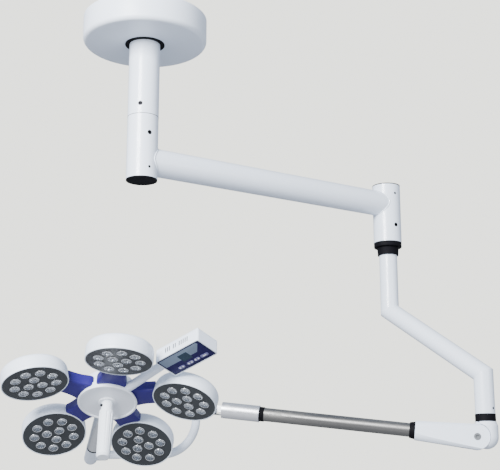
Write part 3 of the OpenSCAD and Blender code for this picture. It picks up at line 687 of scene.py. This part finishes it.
# %% Printed fields
BOX_NEAR = 219.0
BOX_LENGTH = 152.0
BOX = (
    HEAD
    @ Matrix.Rotation(math.radians(36), 4, "Z")
    @ Matrix.Translation(Vector((BOX_NEAR + BOX_LENGTH / 2, 0, 9.0)) * MM)
)


def plate(name, outline, back, proud, material, body, slot):
    """A thin plate with a softened edge. Its outline is in the panel's millimetres."""
    shape = bmesh.new()
    middle = Vector((sum(p[0] for p in outline), sum(p[1] for p in outline))) / len(outline)
    rings = []
    for inset, height in ((0.0, back), (0.0, -proud * 0.5), (0.25, -proud)):
        ring = []
        for x, y in outline:
            inward = (middle - Vector((x, y))).normalized() * inset
            ring.append(shape.verts.new(BOX @ (Vector((x + inward.x, y + inward.y, height)) * MM)))
        rings.append(ring)
    count = len(outline)
    for lower, upper in zip(rings, rings[1:]):
        for k in range(count):
            m = (k + 1) % count
            shape.faces.new([lower[k], lower[m], upper[m], upper[k]])
    shape.faces.new(rings[0])
    shape.faces.new(rings[-1])
    return piece(name, shape, material, body, slot)


def disc(centre_x, centre_y, radius, sides=24):
    angles = [2 * math.pi * k / sides for k in range(sides)]
    return [(centre_x + radius * math.cos(a), centre_y + radius * math.sin(a)) for a in angles]


strip_outline = [(-69, -33), (61, -33), (64, -27), (40, -1.5), (-69, -1.5)]
window_outline = [(-15, -21), (17, -21), (17, 8), (-15, 8)]
plate("film_strip", strip_outline, 0.0, 0.20, film_pale, "head", "panel_film")
plate("film_window", window_outline, 0.0, 0.35, film_teal, "head", "panel_film")
for name, corners in {
    "border_inner": [(-73.0, -37), (-69.6, -37), (-69.6, 37), (-73.0, 37)],
    "border_outer": [(69.6, -37), (73.0, -37), (73.0, 37), (69.6, 37)],
    "border_top": [(-69.5, -37), (69.5, -37), (69.5, -34), (-69.5, -34)],
    "border_low": [(-69.5, 34.5), (69.5, 34.5), (69.5, 37), (-69.5, 37)],
}.items():
    plate(name, corners, 0.0, 0.25, film_navy, "head", "panel_film")
print("panel fields made")

# %% Dots on the keys
KEY_Y = 21.5
KEY_X = [-36.0, -5.0, 19.0, 45.0]
KEY_FACE = -1.2
for k, x in enumerate(KEY_X[:3]):
    for side in (-1, 1):
        plate(
            f"key_dot_{k + 1}_{'left' if side < 0 else 'right'}", disc(x + side * 5.2, KEY_Y, 2.7),
            KEY_FACE, -KEY_FACE + 0.15, print_white, f"key_{k + 1}", "key_grey",
        )
bar_outline = [(39, 19.6), (51, 19.6), (51, 23.4), (39, 23.4)]
plate("key_bar_4", bar_outline, KEY_FACE, -KEY_FACE + 0.15, print_white, "key_4", "key_grey")
print("key marks made")

# %% [markdown]
# ## Small fittings
# A thin bright collar closes the sleeve against its rubber ring, and four screws hold the drum's back. They
# are small turned parts, so the lathe makes them too.

# %% Collar and screws
ALONG = BOOM @ Matrix.Rotation(math.radians(90), 4, "Y")
collar_profile = [(24.0, 632.2)] + arc(24.1, 633.2, 0.9, -90, 90) + [(24.0, 634.1)]
turned("sleeve_collar", collar_profile, ALONG, sleeve_silver, "spring_arm", "sleeve_silver")
screw_profile = [(0, 68.9), (1.8, 68.9), (2.0, 70.2)] + arc(4.0, 69.4, 1.0, 90, 0) + [(5.0, 67.8)]
for k in range(4):
    spin = Matrix.Rotation(math.radians(90 * k + 45), 4, "Z")
    spot = HEAD @ spin @ Matrix.Translation((0.050, 0, 0))
    turned(f"drum_screw_{k + 1}", screw_profile, spot, dark_steel, "head", "dark_steel", sides=24)
print("fittings made")

# %% [markdown]
# ## Shadow gaps
# The joint under the fixed column shows as a thin dark line, and the vents open on the dark inside of the
# control box. A black ring in the joint and a black screen in each vent are painted shade, which gives both
# their depth.

# %% Seam ring and vent screens, both painted shade
seam_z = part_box("down_tube")[0][2] / MM
# A thin black ring in the joint under the column: painted shade of the gap.
seam_shade_profile = [(40.0, seam_z + 0.6), (44.4, seam_z + 0.6), (44.75, seam_z + 0.3)]
seam_shade_profile += [(44.75, seam_z - 0.7), (44.4, seam_z - 1.0), (40.0, seam_z - 1.0)]
turned("column_seam_shade", seam_shade_profile, Matrix(), black_rubber, "column", "black_rubber")
# Black screens just inside the vent slots: painted shade standing in for the shadowed inside of the box.
vent_shade_mesh = bmesh.new()
for x in (-38, -31, -24, -10, -3, 11, 18, 25, 32, 39):
    corners = [(x + dx, y, z) for dx in (-1.45, 1.45) for y in (-39.7, -37.0) for z in (14.1, 28.9)]
    bmesh.ops.convex_hull(vent_shade_mesh, input=[vent_shade_mesh.verts.new(BOX @ (Vector(c) * MM)) for c in corners])
piece("vent_shade_screens", vent_shade_mesh, black_rubber, "head", "black_rubber")
print("gaps made")

# %% [markdown]
# ## Floor
# The floor is staged, so it isn't part of the lamp.

# %% Floor and end
floor_mesh = bpy.data.meshes.new("floor")
FLOOR_HALF, FLOOR_Z = 9, -2.4
floor_corners = [(x * FLOOR_HALF, y * FLOOR_HALF, FLOOR_Z) for x, y in ((-1, -1), (1, -1), (1, 1), (-1, 1))]
floor_mesh.from_pydata(floor_corners, [], [(0, 1, 2, 3)])
floor_mesh.materials.append(floor_paper)
floor = bpy.data.objects.new("floor", floor_mesh)
bpy.context.scene.collection.objects.link(floor)
